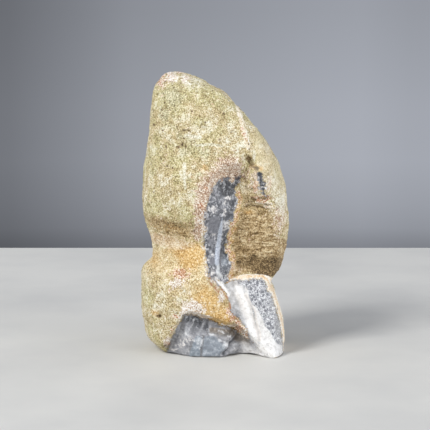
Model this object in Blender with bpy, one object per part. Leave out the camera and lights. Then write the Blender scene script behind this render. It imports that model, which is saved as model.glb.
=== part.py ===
"""Cut base agate: one upright nodule, broken open at the front, standing on a sawn flat.

Metres, +Z up. The broken front faces -Y. The origin is on the table, under the middle of the
stone. The stone is drawn in millimetres, and MM scales it when the mesh is made.
"""
import bmesh
import bpy
import numpy as np
from mathutils import Vector, noise

MM = 0.001

# Driving dimensions of the whole stone
HEIGHT = 110.6
APEX_X = -15.6
CAP_START = 100.0

# How far the stone reaches on each side, as (height, reach) from the foot up
LEFT_REACH = ((-4, -18.5), (0, -21.5), (3, -25.2), (7, -27.8), (13, -29.1), (21, -29.6), (29, -29.5),
              (32.5, -28.7), (36, -25.6), (42, -25.0), (48, -26.3), (54, -28.2), (61, -28.9),
              (72, -28.4), (81, -26.7), (91, -25.4), (101, -24.6), (110, -24.9))
RIGHT_REACH = ((-4, 27.9), (0, 27.9), (6, 28.0), (12, 27.3), (18, 25.8), (24, 23.4), (27.5, 22.2),
               (30, 24.4), (34, 27.0), (41, 28.6), (51, 29.4), (60, 28.7), (68, 27.2), (76, 24.6),
               (85, 19.2), (94, 10.9), (103, 2.9), (110, -1.8))
FRONT_REACH = ((-4, -20.5), (0, -21.0), (10, -22.3), (22, -22.8), (32, -21.4), (38, -19.4),
               (43, -18.4), (48, -20.0), (55, -23.0), (65, -23.6), (76, -22.2), (86, -19.2),
               (95, -15.5), (103, -12.0), (110, -9.5))
BACK_REACH = ((-4, 18.5), (0, 19.6), (9, 21.6), (20, 22.4), (31, 20.6), (41, 19.4), (52, 21.8),
              (64, 23.0), (76, 21.5), (88, 17.6), (98, 13.2), (110, 9.5))

# The waist climbs by this much from the sides round to the back
BACK_CLIMB = 7.0

# Squareness of a cross section's quarters: 2 is an ellipse, more is boxier
LOBE_SQUARENESS = 2.6
BLOCK_SQUARENESS = 4.2
BACK_SQUARENESS = 2.3
BLOCK_TOP = (25.0, 35.0)

# Swellings and dents of the skin, as (x, y, height), radius and rise
SWELLINGS = (((-11, 22, 74), 15, 2.2), ((9, 21, 88), 13, -2.6), ((17, 19, 60), 15, 2.0),
             ((-18, 18, 49), 10, -2.2), ((3, 22, 43), 9, -1.6), ((12, 22, 22), 14, 1.8),
             ((-14, 20, 20), 11, 1.5), ((-1, 22, 10), 9, -1.5), ((26, 13, 20), 9, -1.8),
             ((-27, 10, 66), 11, 1.2), ((-25, 12, 88), 9, -1.4), ((-15, -22, 66), 13, 0.8),
             ((-2, -20, 88), 12, -0.9), ((-14, -22, 27), 10, 0.7))
LUMP_SIZE = 17.0
LUMP_HEIGHT = 1.0
SMALL_LUMPS = 0.35

# Outlines of the broken places, as (x, height) seen from the front
STRIP_OUTLINE = ((0.2, 68.2), (4.4, 70.1), (9.3, 69.4), (8.9, 65.5), (8.2, 57.5), (6.4, 50.5),
                 (5.2, 46.0), (5.2, 41.5), (7.2, 37.6), (6.4, 33.0), (6.8, 27.5), (4.6, 22.4),
                 (1.4, 27.4), (-1.4, 32.2), (-2.8, 35.8), (-3.7, 42.2), (-4.4, 48.0), (-3.6, 54.0),
                 (-2.9, 59.7), (-1.3, 64.2))
VALLEY_OUTLINE = ((12.0, 80.0), (15.0, 79.6), (20.0, 75.0), (26.0, 68.8), (33.0, 60.0), (33.0, 31.0),
                  (22.5, 31.4), (17.3, 32.4), (11.4, 32.4), (7.4, 30.8), (8.4, 34.0), (9.0, 37.5),
                  (7.0, 41.5), (7.4, 48.0), (9.8, 56.5), (10.6, 64.9), (11.0, 70.4), (11.4, 76.0))
FACE_OUTLINE = ((-0.6, 31.0), (1.7, 26.7), (5.2, 21.3), (7.4, 16.0), (9.6, 10.4), (11.0, 3.0),
                (15.0, -4.0), (27.2, -4.0), (27.2, 5.0), (26.0, 12.6), (23.9, 20.4), (21.6, 25.6),
                (19.4, 28.6), (16.6, 29.8), (11.4, 29.9), (7.2, 28.8), (3.5, 31.0))
FRACTURE_OUTLINE = ((-22.0, -3.0), (-19.8, 2.4), (-17.2, 7.0), (-14.0, 12.8), (-12.0, 16.6),
                    (-9.8, 17.4), (-6.0, 16.3), (1.0, 13.9), (7.9, 11.2), (11.7, 8.9), (14.4, 7.3),
                    (19.0, 3.5), (24.0, -3.0))

# Slope of the wall round each broken place, as depth for each unit outwards
STRIP_DRAFT = 1.3
VALLEY_DRAFT = 1.8
FACE_DRAFT = 2.2
FRACTURE_DRAFT = 3.5

# How far round the broken edges are worn
EDGE_WEAR = 0.5
SHOULDER_WEAR = 3.0
VALLEY_WEAR = 6.0
VALLEY_WORN = (15.0, 21.0)

# Flat surfaces in the front, as the depth at x = 0 on the table, and its change with x and height
SHOULDER = (-74.4, 0.55, 0.6226)
VALLEY = (-7.0, 0.0, -0.12)
FACE = (-26.5, 0.182, 0.294)
FRACTURE_LEFT = (-25.6, -0.72, -0.10)
FRACTURE_MIDDLE = (-19.7, 0.02, 0.0)
FRACTURE_FOLD = (-23.5, 1.0, 0.10)
FRACTURE_WEDGE = (-7.5, -0.61, -0.20)

# The valley's ledge, its hollow at the top and its rising right side
LEDGE_START = (12.7, 61.4)
LEDGE_FALL = 0.27
LEDGE_DEPTH = 1.6
LEDGE_HALF_HEIGHT = 0.7
LEDGE_FADE = (24.0, 20.0)
HOLLOW_PLACE = (14.3, 75.3)
HOLLOW_SIZE = (2.6, 4.0)
HOLLOW_DEPTH = 2.2
RISE_START = (18.0, -0.06)
RISE_WANDER = (1.8, 6.5)
RISE = 0.03

# The strip, just under the left lobe's front and sloping into the valley
STRIP_SET_BACK = 0.7
STRIP_LEFT = -3.7
STRIP_TILT = 0.55
SCOOP_DEPTH = 1.5
SCOOP_CLIMB = (57.0, 66.0)

# Groove along the banded face's left side, and the hollow above the fracture's middle facet
GROOVE_TOP = (1.7, 26.7)
GROOVE_ACROSS = (0.802, 0.598)
GROOVE_PLACE = 1.2
GROOVE_WIDTH = 2.8
GROOVE_DEPTH = 1.7
MIDDLE_HOLLOW = 1.4
MIDDLE_CLIMB = (4.0, 15.0)

# The mesh: rings of the rough stone, then an even skin with fewer faces
RING_POINTS = 280
RING_COUNT = 200
FOOT_BELOW_CUT = 4.0
VOXEL = 0.8
KEPT_FACES = 0.12
WASTE_SIZE = (90.0, 80.0, 20.0)


def clear_scene():
    for thing in list(bpy.data.objects):
        bpy.data.objects.remove(thing)


def smooth_curve(points, at):
    """Smooth curve through (place, value) points that never swings past them."""
    place, value = np.array(points, dtype=float).T
    step = np.diff(place)
    rise = np.diff(value) / step
    slope = np.zeros_like(value)
    same_way = rise[:-1] * rise[1:] > 0
    mean = 2 * rise[:-1] * rise[1:] / np.where(same_way, rise[:-1] + rise[1:], 1)
    slope[1:-1] = np.where(same_way, mean, 0)
    slope[0] = rise[0]
    slope[-1] = rise[-1]
    i = np.clip(np.searchsorted(place, at) - 1, 0, len(step) - 1)
    t = np.clip((at - place[i]) / step[i], 0, 1)
    start = value[i] + step[i] * slope[i] * t * (1 - t)
    end = value[i + 1] - step[i] * slope[i + 1] * t * (1 - t)
    blend = t * t * (3 - 2 * t)
    return start * (1 - blend) + end * blend


def smooth_step(low, high, value):
    t = np.clip((value - low) / (high - low), 0, 1)
    return t * t * (3 - 2 * t)


def inside_distance(outline, x, z):
    """Distance to a closed outline, positive inside it."""
    corners = np.array(outline, dtype=float)
    nearest = np.full(x.shape, np.inf)
    inside = np.zeros(x.shape, dtype=bool)
    for (x0, z0), (x1, z1) in zip(corners, np.roll(corners, -1, axis=0)):
        run, climb = x1 - x0, z1 - z0
        along = np.clip(((x - x0) * run + (z - z0) * climb) / (run ** 2 + climb ** 2), 0, 1)
        nearest = np.minimum(nearest, np.hypot(x - x0 - along * run, z - z0 - along * climb))
        if climb:
            inside ^= ((z0 > z) != (z1 > z)) & (x < x0 + (z - z0) * run / climb)
    return np.where(inside, nearest, -nearest)


def deeper_of(surface, cut, wear):
    """The deeper of two surfaces, with the edge between them worn round."""
    overlap = np.clip(wear - np.abs(surface - cut), 0, None) / wear
    return np.maximum(surface, cut) + overlap ** 2 * wear / 4


def flat(plane, x, z):
    return plane[0] + plane[1] * x + plane[2] * z


def cross_section(height, turn):
    """Points of the rough stone at a height, all the way round."""
    past_cap = max(0.0, (height - CAP_START) / (HEIGHT - CAP_START))
    cap = np.sqrt(max(0.0, 1 - past_cap ** 2))
    side, depth = np.cos(turn), np.sin(turn)
    level = height - BACK_CLIMB * np.clip(depth, 0, None)
    left = APEX_X + cap * (smooth_curve(LEFT_REACH, level) - APEX_X)
    right = APEX_X + cap * (smooth_curve(RIGHT_REACH, level) - APEX_X)
    front = cap * smooth_curve(FRONT_REACH, height)
    back = cap * smooth_curve(BACK_REACH, height)
    block = 1 - smooth_step(*BLOCK_TOP, height)
    right_front = LOBE_SQUARENESS + block * (BLOCK_SQUARENESS - LOBE_SQUARENESS)
    front_squareness = np.where(side > 0, right_front, LOBE_SQUARENESS)
    squareness = np.where(depth > 0, BACK_SQUARENESS, front_squareness)
    along_x = (np.abs(side) / ((right - left) / 2)) ** squareness
    along_y = (np.abs(depth) / np.where(depth > 0, back, -front)) ** squareness
    radius = (along_x + along_y) ** (-1 / squareness)
    return (left + right) / 2 + radius * side, radius * depth


def valley_floor(x, z):
    """Undercut flank of the right lobe: it falls back towards the crevice over the block."""
    above_ledge = z - LEDGE_START[1] + LEDGE_FALL * (x - LEDGE_START[0])
    ledge = smooth_step(-LEDGE_HALF_HEIGHT, LEDGE_HALF_HEIGHT, above_ledge)
    ledge = LEDGE_DEPTH * ledge * smooth_step(*LEDGE_FADE, x)
    off_x = (x - HOLLOW_PLACE[0]) / HOLLOW_SIZE[0]
    off_z = (z - HOLLOW_PLACE[1]) / HOLLOW_SIZE[1]
    hollow = HOLLOW_DEPTH * np.exp(-off_x ** 2 - off_z ** 2)
    rise_start = RISE_START[0] + RISE_START[1] * z + RISE_WANDER[0] * np.sin(z / RISE_WANDER[1])
    rise = RISE * np.clip(x - rise_start, 0, None) ** 2
    return flat(VALLEY, x, z) - ledge + hollow - rise


def strip_floor(x, z):
    """Bare chalcedony strip between the left lobe and the valley, scooped out at its top."""
    slope = STRIP_SET_BACK + STRIP_TILT * (x - STRIP_LEFT)
    return smooth_curve(FRONT_REACH, z) + slope + SCOOP_DEPTH * smooth_step(*SCOOP_CLIMB, z)


def face_floor(x, z):
    """Banded face: it leans back towards its top and right, with a groove down its left side."""
    across = GROOVE_ACROSS[0] * (x - GROOVE_TOP[0]) + GROOVE_ACROSS[1] * (z - GROOVE_TOP[1])
    groove = GROOVE_DEPTH * np.exp(-((across - GROOVE_PLACE) / GROOVE_WIDTH) ** 2)
    return flat(FACE, x, z) + groove


def fracture_floor(x, z):
    """Fracture at the foot: a left facet, a hollow middle facet, a fold and a right wedge."""
    left = flat(FRACTURE_LEFT, x, z)
    middle = flat(FRACTURE_MIDDLE, x, z) + MIDDLE_HOLLOW * smooth_step(*MIDDLE_CLIMB, z)
    fold = flat(FRACTURE_FOLD, x, z)
    wedge = flat(FRACTURE_WEDGE, x, z)
    return np.minimum(np.maximum(np.maximum(left, middle), fold), wedge)


def break_open(x, y, z):
    """Depth of the skin once the shoulder and the broken places are cut into the front."""
    valley_wear = EDGE_WEAR + VALLEY_WEAR * smooth_step(*VALLEY_WORN, x)
    pockets = ((valley_floor, VALLEY_OUTLINE, VALLEY_DRAFT, valley_wear),
               (strip_floor, STRIP_OUTLINE, STRIP_DRAFT, EDGE_WEAR),
               (face_floor, FACE_OUTLINE, FACE_DRAFT, EDGE_WEAR),
               (fracture_floor, FRACTURE_OUTLINE, FRACTURE_DRAFT, EDGE_WEAR))
    front = deeper_of(y, flat(SHOULDER, x, z), SHOULDER_WEAR)
    for floor, outline, draft, wear in pockets:
        outside = np.clip(-inside_distance(outline, x, z), 0, None)
        front = deeper_of(front, floor(x, z) - draft * outside, wear)
    return np.where(y < 0, front, y)


def swelling(point):
    """Natural unevenness of the skin, as a length along its normal."""
    broad = noise.noise(point / LUMP_SIZE)
    small = noise.noise(point / (LUMP_SIZE * SMALL_LUMPS))
    rise = LUMP_HEIGHT * (broad + SMALL_LUMPS * small)
    for place, radius, height in SWELLINGS:
        rise += height * np.exp(-(point - Vector(place)).length_squared / radius ** 2)
    return rise


def rough_stone():
    """Rings of points from below the saw cut to the apex, joined into one closed skin."""
    turn = np.linspace(0, 2 * np.pi, RING_POINTS, endpoint=False)
    climb = np.sin(np.linspace(0, np.pi / 2, RING_COUNT + 1)[:-1])
    bm = bmesh.new()
    below = None
    for height in -FOOT_BELOW_CUT + (HEIGHT + FOOT_BELOW_CUT) * climb:
        x, y = cross_section(height, turn)
        y = break_open(x, y, np.full_like(x, height))
        ring = [bm.verts.new((across, depth, height)) for across, depth in zip(x, y)]
        if below:
            for i in range(RING_POINTS):
                j = (i + 1) % RING_POINTS
                bm.faces.new((below[i], below[j], ring[j], ring[i]))
        else:
            bm.faces.new(ring[::-1])
        below = ring
    apex = bm.verts.new((APEX_X, 0, HEIGHT))
    for i in range(RING_POINTS):
        bm.faces.new((below[i], below[(i + 1) % RING_POINTS], apex))
    bm.normal_update()
    moves = [vert.normal * swelling(vert.co) for vert in bm.verts]
    for vert, move in zip(bm.verts, moves):
        vert.co = (vert.co + move) * MM
    mesh = bpy.data.meshes.new("agate_nodule")
    bm.to_mesh(mesh)
    bm.free()
    return mesh


def saw_waste():
    """Block below the table line, which the saw takes off."""
    bpy.ops.mesh.primitive_cube_add(size=MM, location=(0, 0, -WASTE_SIZE[2] / 2 * MM))
    waste = bpy.context.object
    waste.name = "saw_waste"
    waste.scale = WASTE_SIZE
    bpy.ops.object.transform_apply(location=False, rotation=False, scale=True)
    waste.hide_render = True
    waste.display_type = 'WIRE'
    return waste


def stone_material():
    material = bpy.data.materials.new("agate_rind")
    material.use_nodes = True
    surface = material.node_tree.nodes["Principled BSDF"]
    surface.inputs["Base Color"].default_value = (0.60, 0.50, 0.31, 1)
    surface.inputs["Roughness"].default_value = 0.85
    surface.inputs["Metallic"].default_value = 0.0
    return material


def build_stone():
    stone = bpy.data.objects.new("agate_nodule", rough_stone())
    bpy.context.scene.collection.objects.link(stone)
    stone.data.materials.append(stone_material())
    even = stone.modifiers.new("even_skin", 'REMESH')
    even.mode = 'VOXEL'
    even.voxel_size = VOXEL * MM
    fewer = stone.modifiers.new("fewer_faces", 'DECIMATE')
    fewer.ratio = KEPT_FACES
    sawn = stone.modifiers.new("sawn_flat", 'BOOLEAN')
    sawn.operation = 'DIFFERENCE'
    sawn.object = saw_waste()


clear_scene()
build_stone()
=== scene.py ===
"""Cut base agate on a plain pale table.

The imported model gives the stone's place and main shape. Its fine skin, broken edges, bands and colours
are made here. Lengths on the stone are in millimetres until its mesh is written.
"""
import math

import bmesh
import bpy
import numpy as np
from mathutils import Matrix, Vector, noise


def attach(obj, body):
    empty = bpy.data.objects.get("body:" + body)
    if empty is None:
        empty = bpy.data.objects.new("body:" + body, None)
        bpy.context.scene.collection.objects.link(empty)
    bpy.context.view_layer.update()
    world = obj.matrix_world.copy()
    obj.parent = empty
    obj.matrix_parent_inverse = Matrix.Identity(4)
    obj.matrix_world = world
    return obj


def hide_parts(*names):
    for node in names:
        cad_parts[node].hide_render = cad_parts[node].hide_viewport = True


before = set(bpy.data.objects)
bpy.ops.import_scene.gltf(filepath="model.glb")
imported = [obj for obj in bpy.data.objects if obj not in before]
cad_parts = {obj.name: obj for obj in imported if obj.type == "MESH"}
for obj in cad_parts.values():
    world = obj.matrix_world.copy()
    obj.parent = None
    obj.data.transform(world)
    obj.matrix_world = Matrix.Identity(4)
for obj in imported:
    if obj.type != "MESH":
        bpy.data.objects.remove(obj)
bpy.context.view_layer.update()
scene = bpy.context.scene
scene.view_settings.view_transform = 'Standard'


# Camera
# It stands a little higher than the stone's top and looks down on the middle of the stone through a long
# lens. The stone's middle stands a few rows above the middle of the picture.
CAMERA_TARGET = Vector((0, 0, 0.055))
CAMERA_DISTANCE = 0.570
CAMERA_RISE = math.radians(7)
LENS = 120
SENSOR_WIDTH = 36
FRAME_PIXELS = 430
TARGET_ROW = 210.6
camera = bpy.data.objects.new("camera", bpy.data.cameras.new("camera"))
scene.collection.objects.link(camera)
towards_camera = Vector((0, -math.cos(CAMERA_RISE), math.sin(CAMERA_RISE)))
camera.location = CAMERA_TARGET + towards_camera * CAMERA_DISTANCE
camera.rotation_euler = (-towards_camera).to_track_quat('-Z', 'Y').to_euler()
camera.data.lens = LENS
camera.data.sensor_width = SENSOR_WIDTH
camera.data.shift_y = -(FRAME_PIXELS / 2 - TARGET_ROW) / FRAME_PIXELS
scene.camera = camera


# Table, wall and light
# A smooth pale grey table top stands before a plain blue-grey wall. A large soft lamp hangs high on the
# left in front of the stone, and a weaker one stands on its right.
TABLE_REACH = 1.2
TABLE_FAR_EDGE = 0.268
TABLE_LIGHT = (0.68, 0.67, 0.63, 1)
TABLE_DARK = (0.58, 0.575, 0.55, 1)
TABLE_CLOUDS = 14
TABLE_ROUGHNESS = 0.65
WALL_COLOUR = (0.40, 0.42, 0.47, 1)
# The wall's light by direction, from -1 to 1. A ramp holds no more than 1, so it holds a third of the light.
WALL_UP = ((-1, 0.5), (-0.150, 0.52), (-0.142, 0.62), (-0.132, 0.78), (-0.1145, 0.89), (-0.087, 1.0),
           (-0.052, 0.985), (-0.017, 0.91), (0.0175, 0.835), (0.3, 0.8), (1, 1.0))
WALL_ACROSS = ((-1, 2.0), (-0.30, 0.9), (-0.155, 0.43), (-0.14, 0.456), (-0.094, 0.63), (-0.059, 0.78),
               (0.066, 0.97), (0.101, 1.0), (0.136, 0.93), (0.3, 1.0), (1, 2.2))
RAMP_SHARE = 3
# Each lamp's place, width and power
LAMPS = (("lamp_left", (-0.95, -0.93, 1.18), 0.52, 23.2), ("lamp_right", (0.95, -0.62, 0.24), 0.55, 6.2))

table_mesh = bpy.data.meshes.new("table")
table_mesh.from_pydata([(-TABLE_REACH, -TABLE_REACH, 0), (TABLE_REACH, -TABLE_REACH, 0),
                        (TABLE_REACH, TABLE_FAR_EDGE, 0), (-TABLE_REACH, TABLE_FAR_EDGE, 0)],
                       [], [(0, 1, 2, 3)])
table = bpy.data.objects.new("table", table_mesh)
scene.collection.objects.link(table)
table_finish = bpy.data.materials.new("table_top")
table_finish.use_nodes = True
table_nodes = table_finish.node_tree.nodes
table_links = table_finish.node_tree.links
table_place = table_nodes.new("ShaderNodeTexCoord")
table_clouds = table_nodes.new("ShaderNodeTexNoise")
table_clouds.inputs["Scale"].default_value = TABLE_CLOUDS
table_clouds.inputs["Detail"].default_value = 6
table_links.new(table_place.outputs["Object"], table_clouds.inputs["Vector"])
table_shade = table_nodes.new("ShaderNodeValToRGB")
table_shade.color_ramp.elements[0].position = 0.30
table_shade.color_ramp.elements[0].color = TABLE_DARK
table_shade.color_ramp.elements[1].position = 0.60
table_shade.color_ramp.elements[1].color = TABLE_LIGHT
table_links.new(table_clouds.outputs[0], table_shade.inputs[0])
table_surface = table_nodes["Principled BSDF"]
table_links.new(table_shade.outputs[0], table_surface.inputs["Base Color"])
table_surface.inputs["Roughness"].default_value = TABLE_ROUGHNESS
table_mesh.materials.append(table_finish)

wall = bpy.data.worlds.new("wall")
wall.use_nodes = True
scene.world = wall
wall_nodes = wall.node_tree.nodes
wall_links = wall.node_tree.links
direction = wall_nodes.new("ShaderNodeTexCoord")
parts = wall_nodes.new("ShaderNodeSeparateXYZ")
wall_links.new(direction.outputs["Generated"], parts.inputs[0])
wall_light = wall_nodes.new("ShaderNodeMath")
wall_light.operation = 'MULTIPLY'
for which, (axis, tones) in enumerate((("Z", WALL_UP), ("X", WALL_ACROSS))):
    half = wall_nodes.new("ShaderNodeMapRange")
    half.inputs["From Min"].default_value = -1
    wall_links.new(parts.outputs[axis], half.inputs["Value"])
    ramp = wall_nodes.new("ShaderNodeValToRGB")
    while len(ramp.color_ramp.elements) < len(tones):
        ramp.color_ramp.elements.new(0.5)
    for element, (reach, tone) in zip(ramp.color_ramp.elements, tones):
        element.position = (reach + 1) / 2
        element.color = (*[tone / RAMP_SHARE] * 3, 1)
    wall_links.new(half.outputs[0], ramp.inputs[0])
    wall_links.new(ramp.outputs[0], wall_light.inputs[which])
wall_nodes["Background"].inputs["Color"].default_value = WALL_COLOUR
wall_strength = wall_nodes.new("ShaderNodeMath")
wall_strength.operation = 'MULTIPLY'
wall_strength.inputs[1].default_value = RAMP_SHARE ** 2
wall_links.new(wall_light.outputs[0], wall_strength.inputs[0])
wall_links.new(wall_strength.outputs[0], wall_nodes["Background"].inputs["Strength"])

for name, place, size, power in LAMPS:
    lamp = bpy.data.objects.new(name, bpy.data.lights.new(name, 'AREA'))
    scene.collection.objects.link(lamp)
    lamp.data.size = size
    lamp.data.energy = power
    lamp.location = place
    lamp.rotation_euler = (CAMERA_TARGET - lamp.location).to_track_quat('-Z', 'Y').to_euler()


# Agate nodule
# One natural stone: a khaki, pitted rind about 1.3 mm thick round grey, blue and white chalcedony. It is
# broken open up the front, at the lower right and at the foot, and stands on a flat left by the saw.
MM = 0.001
# The skin's face size, its number of triangles, and the pushes that ease away its facets
SKIN_STEP = 0.44
SKIN_FACES = 190000
EASING_ROUNDS = 14
EASING_PUSHES = (0.6, -0.62)
# The breaks lie in front of BROKEN_TO, the sawn flat lies below FLAT_TOP, and the waist climbs behind
BROKEN_TO = 4
FLAT_TOP = 0.25
BACK_CLIMB = 7
# The pits' spacing, and their radius as a share of it
PIT_SPACING = 2.4
PIT_REACH = 0.26

# Outlines and lines on the front, each point as (x, height)
STRIP = ((3.6, 28.7), (0.4, 30.2), (-2.1, 31.6), (-2.4, 32.4), (-2.8, 35.1), (-3.1, 38.5), (-3.8, 41.9),
         (-4.5, 45.6), (-3.8, 49.3), (-3.6, 51.9), (-4.1, 54.2), (-3.1, 59.4), (-2.1, 63.1), (-1.0, 65.4),
         (0.2, 68.2), (1.5, 69.6), (2.5, 68.6), (3.6, 70.2), (5.0, 70.4), (5.8, 68.8), (6.8, 67.9),
         (7.8, 68.3), (8.7, 70.0), (9.6, 70.2), (9.8, 68.8), (8.8, 66.2), (8.1, 63.8), (8.8, 61.4),
         (8.1, 58.6), (7.4, 54.4), (5.6, 52.3), (6.0, 50.1), (5.0, 47.8), (4.6, 44.8), (4.3, 42.7),
         (3.9, 40.9), (5.7, 38.3), (6.4, 35.8), (6.0, 34.1), (5.0, 31.4), (5.3, 29.3))
RIM_LINE = ((5.6, 29.3), (9.9, 29.4), (13.3, 29.8), (18.2, 30.0), (19.7, 28.9), (20.4, 25.7), (21.9, 24.2),
            (22.6, 22.0), (23.6, 19.1), (24.6, 15.6), (25.4, 11.7), (26.2, 7.7), (26.6, 3.7), (27.1, -2.0))
FACE = ((5.8, 19.4), (5.6, 20.6), (4.9, 22.6), (4.0, 24.6), (2.8, 26.4), (1.4, 28.0), (0.2, 29.4),
        (-0.8, 31.0), (0.4, 30.6), (2.4, 28.7), (4.8, 28.6)) + RIM_LINE + (
    (24.7, -2.0), (21.8, 1.0), (18.9, 3.1), (16.5, 4.8), (13.8, 6.4), (13.1, 7.4), (12.3, 11.4), (10.9, 12.7),
    (9.9, 14.8), (7.9, 16.3), (6.0, 18.1))
RIM = RIM_LINE + ((34.0, -2.0), (34.0, 28.6), (24.2, 28.8), (22.3, 30.0), (20.9, 30.9), (18.3, 31.5),
                  (11.9, 31.4), (6.0, 30.0))
FRACTURE = ((-20.5, -3.0), (-18.6, 2.1), (-17.1, 6.4), (-16.2, 8.3), (-14.8, 11.5), (-13.1, 14.2),
            (-11.9, 16.9), (-8.9, 16.6), (-6.4, 15.5), (-5.3, 14.9), (-2.5, 14.7), (-0.3, 13.6), (1.1, 12.5),
            (3.0, 12.1), (7.0, 10.3), (8.6, 9.0), (10.0, 7.7), (13.4, 6.7), (15.8, 4.7), (19.1, 2.8),
            (22.2, 0.7), (25.5, -3.0))
CHIP = ((16.1, 71.5), (17.3, 72.2), (18.5, 70.3), (18.6, 68.8), (19.9, 68.1), (19.6, 66.6), (20.4, 65.6),
        (19.6, 64.2), (20.2, 62.7), (18.2, 62.7), (18.0, 64.7), (16.5, 65.4), (17.3, 66.8), (16.5, 68.8))
BRIGHT_BAND = ((7.6, 28.2), (7.4, 23.8), (8.9, 21.4), (9.9, 18.0), (11.4, 15.1), (11.8, 13.0), (13.1, 9.5),
               (14.0, 6.4), (16.6, 4.6), (17.2, 7.0), (16.7, 10.0), (15.7, 12.4), (15.0, 15.6), (14.5, 18.1),
               (13.8, 21.0), (12.6, 23.4), (11.8, 25.0), (10.9, 27.8))
SECOND_BAND = ((11.4, 27.8), (13.1, 25.7), (13.3, 23.4), (14.3, 20.5), (16.2, 19.5), (17.2, 17.6),
               (18.6, 14.7), (19.6, 12.0), (21.6, 9.8), (22.8, 7.3), (24.1, 5.3), (26.4, 3.6), (27.4, -2.0),
               (21.8, 0.0), (17.4, 4.0), (17.2, 7.0), (16.9, 9.8), (16.0, 12.4), (15.5, 14.7), (15.2, 17.6),
               (14.5, 19.6), (13.0, 21.7), (11.8, 24.1))
CREASE = ((11.8, 24.1), (13.0, 21.7), (14.5, 19.6), (15.2, 17.6), (15.5, 14.7), (16.0, 12.4), (16.9, 9.8),
          (17.2, 7.0))
VEIN = ((0.3, 30.8), (2.3, 28.3), (3.8, 26.2), (5.1, 24.0))
BLUE_LINE = ((3.2, 56.5), (3.0, 55.1), (2.5, 52.6), (2.0, 48.8), (1.5, 45.0), (1.2, 42.9), (0.9, 39.8),
             (0.9, 36.6))
RED_STROKES = (((-2.0, 31.4), (-2.2, 30.0), (-1.4, 28.8), (0.2, 27.2), (1.4, 25.7)),
               ((2.6, 26.3), (3.8, 24.7), (4.9, 22.9), (5.7, 20.6), (6.0, 19.2)))
# A painted shadow line beside the blue line in the strip
SHADOW_LINE = ((2.9, 43.4), (2.1, 39.7), (1.8, 36.5))
RIDGE_LINE = ((8.6, 97.0), (9.5, 94.4), (10.9, 88.7), (12.0, 84.3), (13.1, 81.4), (13.9, 79.0))
LEDGE_LINES = (((14.2, 61.7), (15.8, 60.9)), ((12.2, 58.2), (13.6, 58.9), (15.7, 58.3), (18.8, 57.8)),
               ((19.4, 59.2), (20.6, 58.9)))
PEACH_LINES = (((16.0, 60.3), (17.8, 59.9), (19.4, 60.1), (21.8, 59.6)),
               ((19.0, 58.7), (20.8, 58.4), (22.8, 57.9)))
GROOVE = ((8.8, 7.8), (7.2, 6.1), (5.4, 4.8), (5.0, 3.3), (3.0, 1.4))
VALLEY = ((9.6, 71.5), (12.0, 76.0), (17.0, 74.0), (19.8, 68.0), (21.2, 62.2), (22.4, 55.4), (25.0, 47.0),
          (30.0, 42.0), (28.0, 32.0), (20.5, 30.3), (13.0, 31.6), (6.0, 29.6), (8.2, 37.4), (6.4, 40.0),
          (6.2, 46.7), (8.4, 53.0), (9.4, 58.0), (9.6, 64.0), (10.0, 68.0))
# The fracture's facets: outline, middle, height of the middle, rise per millimetre to the right and up
FACETS = {
    "left": (((-21.0, -3.0), (-10.4, -3.0), (-9.8, 2.3), (-9.0, 4.5), (-8.6, 6.2), (-7.7, 8.2),
              (-9.7, 9.5), (-9.5, 11.1), (-8.3, 13.6), (-8.0, 18.0), (-13.5, 18.0)),
             (-12, 9), 0.50, -0.05, 0.03),
    "combed": (((-8.0, 18.0), (-8.3, 13.6), (-9.5, 11.1), (-9.7, 9.5), (-7.6, 8.1), (-5.6, 8.3),
                (-4.7, 8.8), (-3.6, 9.9), (-2.5, 11.0), (-2.5, 12.9), (-2.2, 16.0)),
               (-6, 12), -0.70, 0.05, 0.15),
    "blue_left": (((-7.5, 8.1), (-5.6, 8.3), (-4.7, 7.5), (-5.0, 5.6), (-5.6, 3.4), (-5.6, -3.0),
                   (-10.4, -3.0), (-9.8, 2.3), (-9.0, 4.5), (-8.6, 6.2)),
                  (-7, 4), 0.45, 0.18, -0.03),
    "blue_middle": (((-4.2, 8.0), (-2.0, 8.5), (0.0, 8.2), (1.9, 6.0), (5.0, 5.1), (4.1, 3.4), (2.2, 1.6),
                     (1.0, -3.0), (-5.4, -3.0), (-5.3, 3.4), (-4.8, 5.6)),
                    (-1, 4), 0.95, 0.14, -0.05),
    "brown": (((-2.0, 11.5), (1.9, 11.2), (7.0, 9.9), (8.1, 7.6), (6.4, 5.9), (4.7, 5.5), (1.9, 6.0),
               (0.0, 8.2), (-2.5, 8.8)),
              (3, 9), 0.45, 0.00, -0.10),
    "foot": (((8.6, 8.6), (13.4, 6.9), (15.8, 4.9), (19.1, 3.0), (22.2, 0.9), (24.0, -3.0), (5.0, -3.0),
              (5.4, 3.6), (7.2, 6.0)),
             (13, 3), -0.35, 0.00, 0.12)}
# Lines of painted shade along the facets' edges and the fracture's fine arcs, where small steps fall
FACET_EDGE_SHADES = (((-9.9, 2.6), (-9.2, 4.6), (-8.7, 6.0)), ((-4.5, 8.4), (-4.7, 5.6), (-5.2, 3.2), (-5.2, 0.8)),
               ((-2.6, 8.9), (0.0, 9.3), (2.4, 8.4), (4.6, 8.9), (6.8, 8.2)),
               ((1.0, 8.4), (3.0, 6.8), (5.0, 6.1)))
FACET_GLINTS = (((-4.9, 7.8), (-5.2, 5.6), (-5.8, 3.2)), ((1.6, 6.7), (3.2, 5.9), (4.9, 5.2), (4.2, 3.4)),
                ((-8.3, 14.6), (-8.7, 12.9), (-9.6, 10.8)), ((-2.2, 8.9), (-0.6, 8.7)),
                ((1.2, 10.2), (2.6, 9.9), (3.6, 9.2)), ((4.6, 7.9), (6.2, 7.6)))
PALE_STREAKS = (((-11.7, 75.5), (-11.7, 71), (-11.4, 66.5)), ((-7, 82.4), (-2, 82.9), (2.8, 82.2)),
                ((-10.8, 86.2), (-6, 85.4)), ((15.2, 80), (14.9, 76.5)))
FOOT_GLINT = ((2.4, 12.7), (5.0, 12.0), (7.2, 11.2))
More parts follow.
